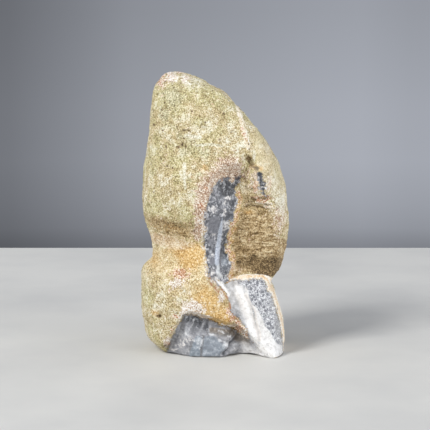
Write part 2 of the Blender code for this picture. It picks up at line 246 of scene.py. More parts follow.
FOOT_LINE = ((13.6, 7.2), (16.2, 4.9), (19.0, 3.0), (22.0, 0.9), (24.5, -1.0))
HOLE = (-21.7, 15.9)
HOLLOW = (13.9, 76.0)
KNOB = (8.2, 2.2)
HOLLOW_LINE = ((12.7, 77.6), (13.6, 75.8), (14.6, 74.4), (16.2, 73.3))
# The sawn flat's front edge, seen from above, and the soft spots where the stone lifts off the table along it
FLAT_EDGE = ((-20, -11.5), (-16, -14.3), (-12, -17.8), (-8, -19.8), (4, -19.6), (6, -18.5), (8, -16.2),
             (10, -14.7), (14, -16.6), (18, -19.3), (20, -19.8), (24, -18.6))
LIFTS = ((5.6, 0, 2.4, 1, 0.7), (14.5, 0, 5.0, 1, 0.8), (-16, 0, 5, 1, 0.4))
# The toe at the lower right, as the soft spot by which it reaches forward
TOE = (23.4, 1.0, 3.2, 4.0, 3.4)
# How far the photo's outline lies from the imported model's: to the right, by height, on the left and on the
# right, and upwards along the crown
LEFT_TRIM = ((0, 0.1), (4, 0.1), (8.8, 0.85), (11.2, 0.8), (13.6, 0.4), (18.4, 0.2), (25, 0), (30.4, 0.1),
             (32.8, 0.35), (35.2, 1.25), (37.6, 0.9), (40, 0.95), (42.4, 0.6), (44.8, 0.35), (49.6, -0.1),
             (54.4, -0.25), (57, 0), (61.7, 0.4), (66.5, 0.6), (71, 0.6), (76, 0.35), (81, -0.25),
             (85.7, -0.45), (88, -0.75), (90.5, -0.5), (95, -0.15), (100, 0.2), (104, 0.45), (106.5, 0.85),
             (110, 0.3))
RIGHT_TRIM = ((0, -0.3), (2.4, -0.4), (4, 0), (23, 0), (25.6, -0.4), (32, -0.4), (34.5, -0.7), (37, -0.75),
              (40, -0.5), (42.4, -0.7), (47, -0.35), (52, -0.1), (55, 0), (57, -0.5), (61.7, -0.35),
              (64, -0.5), (66.5, -0.95), (69, -1.3), (71.3, -1.15), (75, -0.85), (78.5, -1.05), (82, -1.25),
              (85.7, -0.7), (88, 0.1), (91, -0.2), (94, -0.5), (97.7, 0), (100, 0.2), (103, 0),
              (110, -0.5))
CROWN_TRIM = ((-25, 0.7), (-21.5, 0.4), (-19.6, 0.45), (-18, 0.25), (-16.5, -0.15), (-15.3, 0),
              (-12, -0.3), (-7.4, -0.5), (-4.2, -0.9), (-2.6, -1.3), (-1, -0.9), (0.6, -0.5), (2.2, 0.15),
              (6, 0.25), (10, 0))


def fade(low, high, value):
    """From 0 at low to 1 at high, with a smooth rise between."""
    t = np.clip((value - low) / (high - low), 0, 1)
    return t * t * (3 - 2 * t)


def line_distance(line, x, z):
    """Distance from points on the front to a drawn line."""
    nearest = np.full(x.shape, np.inf)
    for (x0, z0), (x1, z1) in zip(line, line[1:]):
        run, climb = x1 - x0, z1 - z0
        along = np.clip(((x - x0) * run + (z - z0) * climb) / (run ** 2 + climb ** 2), 0, 1)
        nearest = np.minimum(nearest, np.hypot(x - x0 - along * run, z - z0 - along * climb))
    return nearest


def nearest_line(drawn, x, z):
    """Distance from points on the front to the nearest of several drawn lines."""
    return np.minimum.reduce([line_distance(line, x, z) for line in drawn])


def soft_line(distance, width):
    """1 where the distance is nothing, fading out over about this width."""
    return np.exp(-(distance / width) ** 2)


def inside_distance(outline, x, z):
    """Distance to a closed outline on the front, positive inside it."""
    closed = outline + outline[:1]
    inside = np.zeros(x.shape, dtype=bool)
    for (x0, z0), (x1, z1) in zip(closed, closed[1:]):
        if z0 != z1:
            inside ^= ((z0 > z) != (z1 > z)) & (x < x0 + (z - z0) * (x1 - x0) / (z1 - z0))
    nearest = line_distance(closed, x, z)
    return np.where(inside, nearest, -nearest)


def soft_spots(places, x, z):
    """Soft spots on the front, each (x, height, half width, half height, strength)."""
    total = np.zeros(x.shape)
    for at_x, at_z, wide, high, strength in places:
        total += strength * np.exp(-((x - at_x) / wide) ** 2 - ((z - at_z) / high) ** 2)
    return total


def lumps(points, size, shift):
    """Natural lumps of about this size, from -1 to 1, at each point."""
    move = Vector((shift, 3.7 * shift, -1.9 * shift))
    return np.array([noise.noise(point / size + move) for point in points])


def combed_lumps(places):
    """Long fine ridges, as on the fracture, that lean to the right as they climb."""
    return lumps([Vector((a - 0.47 * c, b, 0.12 * c)) for a, b, c in places], 1.1, 31)


def pits(points, spacing, reach):
    """Round pits from 0 to 1 deep, near the middle of about half the cells of this spacing."""
    depth = []
    for point in points:
        far, places = noise.voronoi(point / spacing)
        chosen = noise.noise(places[0] * 2.7) > 0.02
        depth.append(max(0.0, 1 - far[0] / reach) if chosen else 0.0)
    return np.array(depth)


def read_points(mesh):
    """The mesh's corners, one in each row."""
    flat = np.empty(len(mesh.vertices) * 3)
    mesh.vertices.foreach_get("co", flat)
    return flat.reshape(-1, 3)


def finished_mesh(thing):
    """The object's mesh with its modifiers applied."""
    evaluated = thing.evaluated_get(bpy.context.evaluated_depsgraph_get())
    return bpy.data.meshes.new_from_object(evaluated)


# The even skin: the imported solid's corners are joined, and the whole is covered with small equal faces
joined = bmesh.new()
joined.from_mesh(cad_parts["agate_nodule"].data)
bmesh.ops.remove_doubles(joined, verts=joined.verts, dist=1e-6)
joined_mesh = bpy.data.meshes.new("agate")
joined.to_mesh(joined_mesh)
joined.free()
agate = bpy.data.objects.new("agate", joined_mesh)
scene.collection.objects.link(agate)
even = agate.modifiers.new("even_skin", 'REMESH')
even.mode = 'VOXEL'
even.voxel_size = SKIN_STEP * MM
agate.data = finished_mesh(agate)
agate.modifiers.clear()
co = read_points(agate.data) / MM

# The facets are eased away, least at the broken edges. The sawn flat stays flat.
edges = np.empty(len(agate.data.edges) * 2, dtype=int)
agate.data.edges.foreach_get("vertices", edges)
edges = edges.reshape(-1, 2)
ends = np.concatenate((edges[:, 0], edges[:, 1]))
others = np.concatenate((edges[:, 1], edges[:, 0]))
neighbours = np.bincount(ends, minlength=len(co))
on_flat = co[:, 2] < FLAT_TOP
x, y, z = co.T
outside = -np.maximum.reduce([inside_distance(shape, x, z) for shape in (STRIP, FACE, FRACTURE)])
easing = np.where(y < BROKEN_TO, 0.10 + 0.90 * fade(0.3, 2.5, outside), 1.0)
broken_foot = (y < BROKEN_TO) & (inside_distance(FRACTURE, x, z) < 0)
easing = np.where(broken_foot, np.maximum(easing, 0.35), easing)
easing[on_flat] = 0
for push in EASING_PUSHES * EASING_ROUNDS:
    middle = np.stack([np.bincount(ends, co[others, i], len(co)) for i in range(3)], axis=1)
    middle /= neighbours[:, None]
    co = co + push * easing[:, None] * (middle - co)
co[on_flat, 2] = 0


def broken_parts(x, y, z):
    """How far each point lies inside the strip, the banded face, the fracture and the chip."""
    behind = 30 * fade(0, 6, y)
    points = [Vector(place) for place in zip(x, y, z)]
    ragged_edge = lumps(points, 2.3, 61) + 0.7 * lumps(points, 0.9, 62)
    strip, face, fracture, chip = [
        inside_distance(shape, x, z) - behind + ragged_by * ragged_edge
        for shape, ragged_by in ((STRIP, 1.0), (FACE, 0.25), (FRACTURE, 0.45), (CHIP, 0.8))]
    return strip, face, np.maximum(fracture, 0.9 - line_distance(FOOT_LINE, x, z) - behind), chip


def waist_level(x, y, z):
    """Height less the waist's climb round the back."""
    turn = np.arctan2(y, x)
    return z - BACK_CLIMB * np.clip(np.sin(turn), 0, None)


# The outline is trimmed to the photo's
x, y, z = co.T
for trim, side in ((LEFT_TRIM, -1), (RIGHT_TRIM, 1)):
    co[:, 0] += np.interp(z, *zip(*trim)) * fade(7, 19, side * (x + 1.5)) * fade(0, 3, z)
co[:, 2] += np.interp(x, *zip(*CROWN_TRIM)) * fade(92, 104, z)

# The toe at the lower right reaches forward
co[:, 1] -= soft_spots((TOE,), co[:, 0], co[:, 2]) * fade(-10, -18, co[:, 1])

# The relief: grain and pits on the rind, strokes in the valley and under the left lobe, crystals in the
# strip, bands on the face, facets on the fracture, and the chip, ledges, ridge, hollow and hole
x, y, z = co.T
points = [Vector(place) for place in co]
strip, face, fracture, chip = broken_parts(x, y, z)
bare = np.maximum.reduce([strip, face, fracture, chip])
on_rind = fade(0.2, -0.4, bare)
front = fade(4, -2, y)
in_valley = fade(-1.5, 1.5, inside_distance(VALLEY, x, z)) * front * on_rind
under_lobe = soft_spots(((-18, 50, 12, 4.5, 1.0),), x, z) * front
rise = on_rind * (0.12 * lumps(points, 2.4, 3) + 0.22 * lumps(points, 1.1, 5) + 0.35 * lumps(points, 7, 8))
rise -= on_rind * 0.45 * pits(points, PIT_SPACING, PIT_REACH)
strokes = lumps([Vector((0.30 * a, 0.5 * b, c + 0.25 * a)) for a, b, c in co], 1.3, 11)
rise += (0.30 * in_valley * fade(60, 40, z) * fade(12, 20, x) + 0.10 * in_valley) * strokes
rise += 0.60 * under_lobe * lumps([Vector((0.7 * a, b, c - 0.2 * a)) for a, b, c in co], 1.0, 15)
rise += 0.35 * soft_line(strip + 0.6, 0.6) + 0.22 * soft_line(face + 0.6, 0.6) * front
on_strip = fade(-0.3, 0.4, strip)
smooth_patch = soft_spots(((-0.2, 51.6, 2.6, 3.4, 1.4), (3.4, 66, 4, 4, 0.9)), x, z)
rise += 0.60 * on_strip * np.clip(1 - smooth_patch, 0, 1) * np.abs(lumps(points, 1.3, 21))
rise -= 0.45 * on_strip * soft_spots(((-0.2, 51.6, 3.0, 3.4, 1.0), (6.4, 58, 2.0, 3.6, 0.8),
                                      (3.4, 42, 1.5, 4.5, 1.0)), x, z)
rise += 0.40 * on_strip * soft_line(line_distance(BLUE_LINE, x, z), 0.5)
second = inside_distance(SECOND_BAND, x, z)
bright = inside_distance(BRIGHT_BAND, x, z)
on_face = fade(0, 0.5, face)
rise += on_face * (0.50 * fade(-0.6, 2.2, bright) + 0.25 * fade(-0.6, 1.8, second))
speckled = on_face * fade(-0.4, -1.2, second) * fade(9, 12, x) * fade(0, -0.8, bright)
rise += 0.40 * speckled * np.abs(lumps(points, 1.0, 21))
rise -= 0.08 * on_face * soft_line(line_distance(CREASE, x, z), 0.6)
rise += 0.30 * soft_line(line_distance(VEIN, x, z), 0.8) * front
rise -= 0.40 * soft_line(nearest_line(RED_STROKES, x, z), 0.45) * front
on_fracture = fade(0, 0.6, fracture)
for outline, (at_x, at_z), out, across, up in FACETS.values():
    tilted = out + across * (x - at_x) + up * (z - at_z)
    rise += on_fracture * tilted * fade(-0.2, 0.2, inside_distance(outline, x, z))
rise += on_fracture * (0.12 * combed_lumps(co) * fade(8, 10, z) + 0.20 * lumps(points, 1.6, 33))
rise -= 0.9 * on_fracture * soft_line(line_distance(GROOVE, x, z), 0.8)
rise += 1.0 * soft_spots(((*KNOB, 1.5, 1.5, 1.0),), x, z) * front
rise -= 0.7 * fade(-0.5, 0.5, chip) * front
for line in LEDGE_LINES:
    rise -= 0.5 * soft_line(line_distance(line, x, z), 0.5) * front
for line in PEACH_LINES:
    rise += 0.35 * soft_line(line_distance(line, x, z), 0.4) * front
rise += 0.45 * soft_line(line_distance(RIDGE_LINE, x, z), 1.0) * front
rise -= soft_spots(((*HOLLOW, 1.6, 2.4, 0.8), (16.0, 73.3, 1.1, 0.6, 1.1), (*HOLE, 0.9, 0.7, 1.3),
                    (16.2, 47.4, 1.2, 0.4, 0.8), (16.9, 55.1, 0.8, 0.4, 0.6), (-6, 107.5, 5, 4, 0.6)),
                   x, z) * front
rise[on_flat] = 0
agate.data.vertices.foreach_set("co", (co * MM).ravel())
agate.data.update()
normals = np.empty(len(co) * 3)
agate.data.vertices.foreach_get("normal", normals)
co = co + rise[:, None] * normals.reshape(-1, 3)
co[:, 2] = np.clip(co[:, 2], 0, None)
co[on_flat, 2] = 0
x, y, z = co.T
lift = soft_spots(LIFTS, x, 0 * x) * fade(4.0, 2.4, y - np.interp(x, *zip(*FLAT_EDGE)))
co[:, 2] += lift * fade(2.2, 0, z)
agate.data.vertices.foreach_set("co", (co * MM).ravel())
agate.data.update()

# The back and sides, where the grain is all there is to show, keep fewer faces than the front
away = agate.vertex_groups.new(name="away_from_front")
away.add([int(i) for i in np.flatnonzero((co[:, 1] > 2) & (co[:, 2] > 0.5))], 1.0, 'REPLACE')
fewer = agate.modifiers.new("fewer_faces", 'DECIMATE')
fewer.vertex_group = "away_from_front"
fewer.vertex_group_factor = 10
fewer.ratio = SKIN_FACES / (2 * len(agate.data.polygons))
agate.data = finished_mesh(agate)
agate.modifiers.clear()
agate.vertex_groups.clear()

# Corners that fell together are joined, so that no face is empty
cleaned = bmesh.new()
cleaned.from_mesh(agate.data)
bmesh.ops.remove_doubles(cleaned, verts=cleaned.verts, dist=2e-6)
bmesh.ops.dissolve_degenerate(cleaned, edges=cleaned.edges, dist=2e-6)
cleaned.to_mesh(agate.data)
cleaned.free()
agate.data.name = "agate"
agate.data.shade_smooth()

# What each place of the skin is, for the finish. Spots are (x, height, half width, half height, strength),
# and distances from breaks and thin lines are kept as shares of LINE_REACH.
LINE_REACH = 4
FLAT_SECTORS = 60
RIND_SPOTS = {
    "moss": ((-15.5, 101, 5, 4.5, 0.95), (-12.5, 86, 4, 5, 0.6), (-19, 93, 4, 4.5, 0.6),
             (1, 98, 5, 4, 0.4), (-3.3, 80, 4, 2.5, 0.6), (-9, 81, 4, 3, 0.4), (-6.5, 71.6, 1.2, 1.0, 0.8),
             (-9.6, 69.4, 1.8, 1, 0.6)),
    "straw": ((-18, 37, 13, 7, 1.2), (-6, 33, 7, 8, 1.1), (-13, 27, 9, 4, 0.5)),
    # Painted shadow under the left lobe at the waist, in a warm brown
    "umber_and_shade": ((-22, 52.4, 8, 3.6, 0.85), (-11, 48.8, 8, 3.8, 0.85)),
    "ochre": ((-17, 50, 10, 3, 0.35), (-13.5, 41.4, 7, 3.0, 0.6), (-8, 40.6, 5, 4.4, 1.1),
              (-10, 36, 5, 3.4, 0.5), (-3.2, 22.5, 6.4, 6.0, 1.2), (2.0, 15.6, 5.0, 3.8, 1.3),
              (-25, 36.6, 4.5, 2.6, 0.65), (-23.2, 17.0, 1.9, 1.5, 0.9), (-4, 74, 2.2, 2, 0.6),
              (13, 56.1, 2, 1, 0.7), (15.4, 73.9, 2.0, 1.0, 1.1), (17.7, 73.2, 0.9, 0.8, 1.1),
              (10.4, 88.4, 0.7, 1.0, 1.2), (10.9, 86.4, 0.7, 0.8, 1.1), (13.6, 77.6, 0.8, 2, 0.6)),
    "rust": ((-13.4, 33.1, 3.2, 2.0, 1.15), (-21.6, 106.6, 1.7, 2.8, 0.62), (-19.6, 109.0, 2.0, 1.0, 0.45),
             (-12.6, 110.4, 4.0, 0.8, 0.5), (10.5, 88.5, 0.7, 0.6, 1.3), (11.2, 86.6, 0.7, 0.5, 1.2),
             (11.8, 84.8, 0.5, 0.5, 1.0), (15.8, 67.8, 0.9, 1.2, 0.8), (14.4, 66.4, 0.9, 0.8, 0.6),
             (7.0, 16.4, 1.6, 3.4, 0.8), (18.2, 61.7, 3.4, 1.1, 1.5), (12.4, 8.6, 0.9, 0.9, 0.8),
             (9.7, 10.6, 1.4, 2.6, 0.9), (5.6, 18.6, 1.2, 1.6, 0.7), (15.2, 73.8, 1.0, 0.7, 1.0),
             (15.4, 65.6, 1.2, 2.0, 0.7), (21.4, 66.5, 0.8, 2.2, 0.6), (-15.2, 16.4, 1.0, 1.4, 0.8),
             (-16.6, 11, 1.0, 0.9, 0.8), (-17.6, 3.4, 1.4, 2.0, 0.7), (-3.4, 66, 0.8, 1.6, 0.7),
             (-5.4, 60, 1.0, 1.6, 0.8)),
    "pink": ((-21.2, 106.6, 2.2, 3.2, 0.9), (-14, 110.4, 6, 1.2, 0.8), (5.2, 74.0, 6.2, 5.0, 1.1),
             (4.6, 70.2, 5.2, 2.2, 0.9), (-3.0, 66, 3.6, 5, 1.0), (-5.6, 57, 3.2, 7, 0.9),
             (-6.4, 48, 2.2, 4, 0.7), (17.6, 67, 4.0, 5.6, 0.5), (9, 12.6, 2.8, 4.8, 0.7),
             (25.0, 53, 3.0, 8, 0.6), (15.4, 70, 1.6, 2, 0.5)),
    "petal": ((20.8, 67, 1.4, 4.6, 0.8), (15.6, 67, 2.6, 4.0, 0.7), (-8.6, 19.4, 4.6, 3.8, 1.2),
              (-13.6, 30.2, 3.6, 2.0, 0.7), (-3.6, 16.0, 2.6, 1.2, 0.9), (2.6, 24.0, 1.3, 2.8, 0.9),
              (0.8, 27.6, 1.0, 1.4, 0.9), (-0.9, 29.9, 0.7, 1.0, 0.9), (11.2, 11.4, 1.4, 2.6, 0.7),
              (-1.0, 33.6, 1.0, 1.6, 0.9), (9.0, 12.2, 1.0, 1.2, 0.6), (-16, 28, 3.4, 2, 0.5),
              (-11.6, 107.2, 3.0, 2.6, 0.7), (-17.4, 108.2, 2.6, 2.4, 1.0), (-18.6, 5.4, 1.8, 2.0, 0.9),
              (-5.4, 56, 1.8, 6, 0.45), (12.2, 9.4, 1.4, 2.2, 0.8), (12.7, 7.5, 1.2, 1.2, 1.3)),
    # The blush, pale and pink spots along the right lobe's edge, near x 25, are partly its pinkish rind and
    # partly painted light on that side
    "blush": ((-22, 45.4, 8, 2.6, 1.1), (-14, 44.0, 6, 2.2, 0.8), (8.8, 32.9, 2.8, 1.0, 1.1),
              (25.4, 57, 3.2, 10, 0.9), (1.0, 27.4, 1.4, 2.0, 1.0), (3.0, 24.6, 1.2, 2.4, 1.0)),
    "pale": ((-23, 20, 5, 7, 0.3), (-1, 20, 5, 5, 0.25), (16.4, 68, 3, 4, 0.3), (25.6, 58, 3.2, 9, 0.75),
             (-10.5, 88, 5, 5, 0.3), (-8, 106, 5, 3, 0.6), (-3.4, 89.5, 4, 4, 0.5), (-6, 58, 3, 6, 0.4),
             (13, 83, 1.2, 2.6, 0.5), (-12, 27, 4, 2.4, 0.5), (22.4, 66, 2.4, 6, 0.6)),
    # Painted shade under the lobes, low in the valley, in the hollow, the hole and under the ledge, together
    # with real dark spots and dots on the rind
    "shade_and_dark_spots": ((-17, 50.0, 8, 1.4, 0.2), (12.8, 77.2, 1.2, 1.5, 0.65), (16.0, 73.4, 0.8, 0.6, 1.5),
              (14.2, 75.0, 1.2, 1.0, 0.35), (18.6, 61.9, 2.8, 0.8, 1.0), (20.8, 32.8, 4.0, 2.2, 1.6),
              (23, 36, 3, 2.4, 0.6), (11.8, 68.6, 0.9, 2.6, 0.5), (14.6, 70.4, 1.3, 2.8, 0.4),
              (13.4, 60.2, 1.6, 0.6, 0.6), (16.2, 47.4, 1.3, 0.5, 1.0), (16.9, 55.1, 0.9, 0.5, 0.9),
              (11.5, 48.8, 0.6, 0.5, 0.7), (15.0, 38.6, 1.0, 0.6, 0.8), (9.2, 36.0, 0.8, 0.6, 0.7),
              (-12, 88, 1.0, 0.7, 0.7), (-12.6, 83, 0.7, 0.7, 0.7), (*HOLE, 1.0, 0.7, 1.1),
              (-20.5, 95.7, 0.6, 0.5, 0.9), (-20.4, 93.5, 0.7, 0.4, 1.0), (-23.6, 89.8, 0.6, 0.7, 0.9),
              (-18.7, 81.6, 0.4, 0.9, 1.0), (-14.2, 81.8, 0.6, 0.5, 1.0), (-12.6, 82.4, 0.5, 0.5, 0.9),
              (-10.2, 88.2, 0.7, 0.5, 0.8), (3.4, 94.2, 0.6, 0.5, 0.9), (-16, 104.3, 0.7, 0.4, 0.8),
              (-3.9, 84.7, 0.5, 0.5, 0.7), (1.7, 84.6, 0.6, 0.4, 0.7), (-20.7, 77.3, 0.5, 0.4, 0.9),
              (-19.6, 3.6, 0.8, 0.7, 0.9), (17, 35.6, 9, 3.6, 0.92), (26.4, 10, 0.5, 0.8, 0.8)),
    "pit": ((16.1, 73.4, 0.7, 0.5, 1.2),)}
STRIP_SPOTS = {
    # Smoky grey chalcedony, darkened as painted shade at the strip's top and in its recesses
    "smoke_and_shade": ((7.6, 67, 3.0, 3.2, 1.2), (3.4, 64.5, 3.0, 3.6, 0.7), (6.8, 59.4, 1.7, 2.0, 1.0),
              (5.8, 55.6, 1.6, 1.8, 0.9), (4.3, 47, 1.2, 2.6, 1.0), (3.4, 41.4, 1.4, 3, 1.1),
              (-2.2, 40, 1.4, 3, 0.8), (4.0, 40.5, 1.6, 3, 0.9), (4.4, 32.6, 1.3, 2.6, 1.0)),
    # Painted shade at the strip's top, where it lies recessed under the rind
    "dark": ((7.4, 67.4, 2.2, 2.2, 1.0), (2.6, 67.6, 2.2, 1.2, 0.6), (5.4, 65.6, 3.2, 3.2, 1.5),
             (6.6, 60.4, 1.4, 1.6, 0.8)),
    "flat": ((-0.2, 51.8, 2.4, 3.2, 1.6), (-1.6, 45, 2.0, 2.4, 0.8), (-0.8, 37.4, 1.6, 1.8, 1.0)),
    "chalk": ((-0.6, 58.0, 1.8, 2.0, 0.9), (3.7, 56.8, 0.8, 1.5, 1.0), (4.8, 62.1, 1.4, 0.9, 0.9),
              (3.8, 60.2, 0.6, 0.8, 0.8), (4.6, 51.0, 1.5, 1.7, 0.9), (-1.2, 47.8, 1.4, 0.6, 0.7),
              (-1.0, 40.0, 0.6, 0.5, 0.9), (-1.0, 33.2, 1.0, 1.2, 0.9)),
    "blue": ((3.7, 36.6, 1.3, 1.8, 0.9),),
    "frost": ((1.2, 34.0, 0.7, 2.2, 1.3), (2.0, 31.6, 0.8, 0.8, 0.9))}
FRACTURE_SPOTS = {
    # Painted shade at the fracture's top, under the rind's edge
    "smoke_and_shade": ((-9.6, 15.0, 4.4, 2.2, 0.85), (-3.2, 9.8, 0.8, 1.4, 0.6), (2.4, 11.9, 5, 1.0, 0.6)),
    "chalk": ((-13, 5, 3.2, 4, 0.48), (-9.4, 7.4, 1.4, 1.6, 0.5), (-16.6, 1.8, 1.8, 0.7, 0.7)),
    "speckled": ((*KNOB, 1.5, 1.5, 0.8),),
    "frost": ((-6.6, 6.4, 1.2, 2.4, 0.7), (-2.6, 7.4, 2.2, 1.0, 0.2), (3.8, 4.8, 1.2, 1.2, 0.9),
              (1.4, 9.6, 1.6, 0.5, 0.4), (6.2, 9.2, 1.6, 0.5, 0.3), (8.0, 4.0, 1.2, 0.7, 0.7),
              (-11.4, 9.4, 2.2, 3.0, 0.5)),
    "milk": ((23.6, 1.6, 3.4, 2.4, 1.0), (18.4, 3.6, 2.6, 1.6, 0.5))}
CHIP_CHALK = ((17.2, 66.0, 1.0, 0.6, 1.0), (19.6, 65.6, 0.6, 0.9, 1.1), (18.2, 66.2, 0.8, 0.3, 0.8),
              (16.9, 69.4, 0.4, 1.2, 0.9), (18.8, 67.4, 0.9, 0.4, 0.8), (19.6, 63.0, 0.8, 0.6, 0.6))
CELL_SPOTS = ((15.4, 25.6, 3.4, 3.8, 1.1), (17.4, 20.6, 2.8, 4, 1.1), (19.6, 14.4, 2.2, 4, 1.1),
              (11.4, 29.0, 5, 1.2, 1.0), (17.4, 28.8, 3.6, 1.2, 0.6), (22.6, 8.4, 1.3, 3, 0.9),
              (19.6, 23, 2.4, 4, 0.6), (22.0, 14, 1.6, 5, 0.6))
co = read_points(agate.data) / MM
points = [Vector(place) for place in co]
x, y, z = co.T
strip, face, fracture, chip = broken_parts(x, y, z)
bare = np.maximum.reduce([strip, face, fracture, chip])
front = fade(4.5, -2.5, y + 3.5 * lumps(points, 5, 71) + 1.5 * lumps(points, 1.6, 73))
round_back = 1 - front
level = waist_level(x, y, z)
second = inside_distance(SECOND_BAND, x, z)
bright = inside_distance(BRIGHT_BAND, x, z)
valley = inside_distance(VALLEY, x, z)
red_strokes = nearest_line(RED_STROKES, x, z)
peach_lines = nearest_line(PEACH_LINES, x, z)
on_strip = fade(-0.2, 0.2, strip)
on_face = fade(-0.2, 0.4, face)
on_fracture = fade(-0.2, 0.2, fracture)
speckled = on_face * fade(0.25, -0.25, second) * fade(8.0, 10.0, x + 0.4 * (z - 28))
speckled *= fade(0.2, -0.3, bright)
in_facet = {name: fade(-0.15, 0.15, inside_distance(outline, x, z))
            for name, (outline, *_) in FACETS.items()}
wander = lumps(points, 13, 41)
drift = lumps(points, 9, 47)

# How far in from its edge each point of the sawn flat lies, from 0 at the edge to 1 in the middle
on_flat = z < 0.05
mid_x, mid_y = (co[on_flat, :2].min(axis=0) + co[on_flat, :2].max(axis=0)) / 2
turn = np.arctan2(y - mid_y, x - mid_x) / math.tau + 0.5
sector = (turn * FLAT_SECTORS).astype(int) % FLAT_SECTORS
from_middle = np.hypot(x - mid_x, y - mid_y)
edge_reach = np.array([from_middle[on_flat & (sector == i)].max() for i in range(FLAT_SECTORS)])
edge_reach = (edge_reach + np.roll(edge_reach, 1) + np.roll(edge_reach, -1)) / 3
depth = 1 - from_middle / edge_reach[sector]

# The rim of the banded face fades out raggedly on its way round to the back
rim_wander = fade(-12, -5, y) * (1.0 + 2.4 * lumps(points, 6, 74) + 1.5 * lumps(points, 2, 75))
rim_fade = fade(12, -6, y + 12 * lumps(points, 9, 71) + 7 * lumps(points, 3, 72))

tints = {
    "bare": 0.5 + bare / LINE_REACH,
    # Painted shade on the fracture's top facet and along its groove
    "smoke_and_shade": on_fracture * (0.62 * in_facet["combed"] * fade(8, 12, z)
                            + 0.7 * fade(0.9, 0.2, line_distance(GROOVE, x, z))),
    "dark": 0.8 * fade(-0.1, 0.3, chip),
    "sugar": on_strip * np.clip(1 - soft_spots(((7, 67, 3, 4, 0.9), (3, 64.5, 3, 4, 0.9),
                                                (0, 51.6, 2.8, 3.4, 0.9)), x, z), 0, 1),
    "chalk": fade(-0.4, 0.2, chip) * soft_spots(CHIP_CHALK, x, z)
             + 0.55 * on_strip * fade(1.1, 0.1, strip),
    "cells": speckled * soft_spots(CELL_SPOTS, x, z),
    "speckled": speckled,
    "pewter": on_fracture,
    "blue": on_fracture * (in_facet["blue_left"] + 0.8 * in_facet["blue_middle"]),
    "taupe": on_fracture * (
        in_facet["brown"] * fade(7.6, 10.6, z + 0.25 * x)
        + 1.1 * in_facet["foot"] * fade(4.6, 1.4, fracture) * fade(16, 11, x)),
    "comb": 0.5 + 0.5 * combed_lumps(co) * on_fracture * (
        in_facet["combed"] + 0.4 * in_facet["left"] * fade(8, 12, z)),
    "glint": on_fracture * fade(0.55, 0.15, nearest_line(FACET_GLINTS, x, z)),
    # Painted shade along the facets' edges and arcs
    "edge_shade": on_fracture * fade(0.55, 0.15, nearest_line(FACET_EDGE_SHADES, x, z)),
    "milk": on_face * np.maximum.reduce([
                fade(-1.8, 1.6, bright), 0.84 * fade(-0.3, 0.3, second),
                0.34 + 0.14 * fade(14, 28, z) - soft_spots(((8.6, 15.0, 1.0, 2.2, 0.3),), x, z)])
            # Less milk along the crease, painted shade there
            - on_face * soft_spots(((15.6, 15.5, 0.7, 3.4, 0.22), (13.3, 22.0, 0.6, 2.4, 0.15)), x, z)
            + 0.75 * fade(0.8, 0.3, line_distance(VEIN, x, z)) * front
            + on_fracture * (0.66 * in_facet["foot"] * fade(1.0, 3.6, fracture) * fade(9, 12, x)
                             + 0.5 * fade(14, 18, x)),
    "rim": fade(-0.3, 0.3, inside_distance(RIM, x + rim_wander, z)) * rim_fade,
    # The valley's own brown, darkened as painted shade and darker towards its bottom, and a dark band round
    # the back along the waist, painted as the same shade
    "umber_and_shade": fade(-1.5, 2.0, valley) * front * (1 - 0.5 * fade(52, 62, z))
             + round_back * 0.6 * soft_line(level - 49, 5),
    "streaked": 0.42 * fade(-0.5, 1.0, valley) * front
                * soft_spots(((21.5, 43, 5.5, 6.5, 1.0),), x, z),
    "moss": 0.6 * round_back * fade(0.1, 0.7, drift),
    "straw": round_back * (0.9 * soft_line(level - 38, 7) + 0.7 * fade(0, 0.8, wander)),
    "ochre": 0.7 * fade(1.5, 0.6, np.abs(strip + 1.0)) * front * fade(66, 62, z)
             * fade(3, 4.5, x)
             + round_back * (0.5 * soft_line(level - 41, 4) + 0.4 * fade(0.35, 0.9, wander)),
    "rust": 0.45 * fade(1.2, 0.5, np.abs(strip + 0.9)) * front * fade(68, 62, z)
            * fade(3, 4.5, x)
            + 0.3 * fade(0.7, 0.2, peach_lines) * front,
    "pink": 0.4 * round_back * fade(0.3, 0.8, -drift),
    "petal": 0.35 * fade(1.7, 0.6, np.abs(fracture + 0.9)) * fade(-6, -11, x) * front
             + 0.9 * fade(0.5, 0.2, line_distance(FOOT_GLINT, x, z)) * front
             + fade(1.2, 0.5, np.abs(strip + 0.6)) * front * np.where(
                 x < 1.5, 0.5 * fade(60, 50, z), 0.45 * fade(66, 62, z)),
    "ridge": fade(1.6, 0.4, line_distance(RIDGE_LINE, x, z)) * front * fade(78, 83, z)
             * (1 - 0.35 * fade(91, 96, z))
             + 1.2 * fade(0.8, 0.4, peach_lines) * front,
    "soft": fade(13, 17, x) * fade(60, 68, z) * front,
    "pale": 0.7 * fade(0.9, 0.3, nearest_line(PALE_STREAKS, x, z)) * front
            + 0.5 * round_back * fade(-0.3, -0.9, wander),
    # Painted shadow under the ledge lines, in the hollow and along the fracture's top edge under the rind
    "shade_and_dark_spots": 0.7 * fade(0.6, 0.2, nearest_line(LEDGE_LINES, x, z)) * front
             + 0.35 * fade(1.6, 0.4, line_distance(HOLLOW_LINE, x, z)) * front
             + 0.7 * fade(0.5, 0.1, np.abs(fracture + 0.2)) * front * fade(-15, -12, x)
             * fade(11, 8, x),
    "pit": 1.3 * pits(points, PIT_SPACING, PIT_REACH) * fade(0, -0.6, bare),
    "sawn": fade(0.10, 0.02, z),
    "depth": depth,
    "from_red": red_strokes / LINE_REACH,
    "from_blue": line_distance(BLUE_LINE, x, z) / LINE_REACH + 0.2 * fade(48, 57, z)
                 - 0.05 * fade(46, 40, z),
    "from_rim": line_distance(RIM_LINE, x, z) / LINE_REACH,
    "from_crease": line_distance(CREASE, x, z) / LINE_REACH,
    "from_shadow_line": line_distance(SHADOW_LINE, x, z) / LINE_REACH,
}
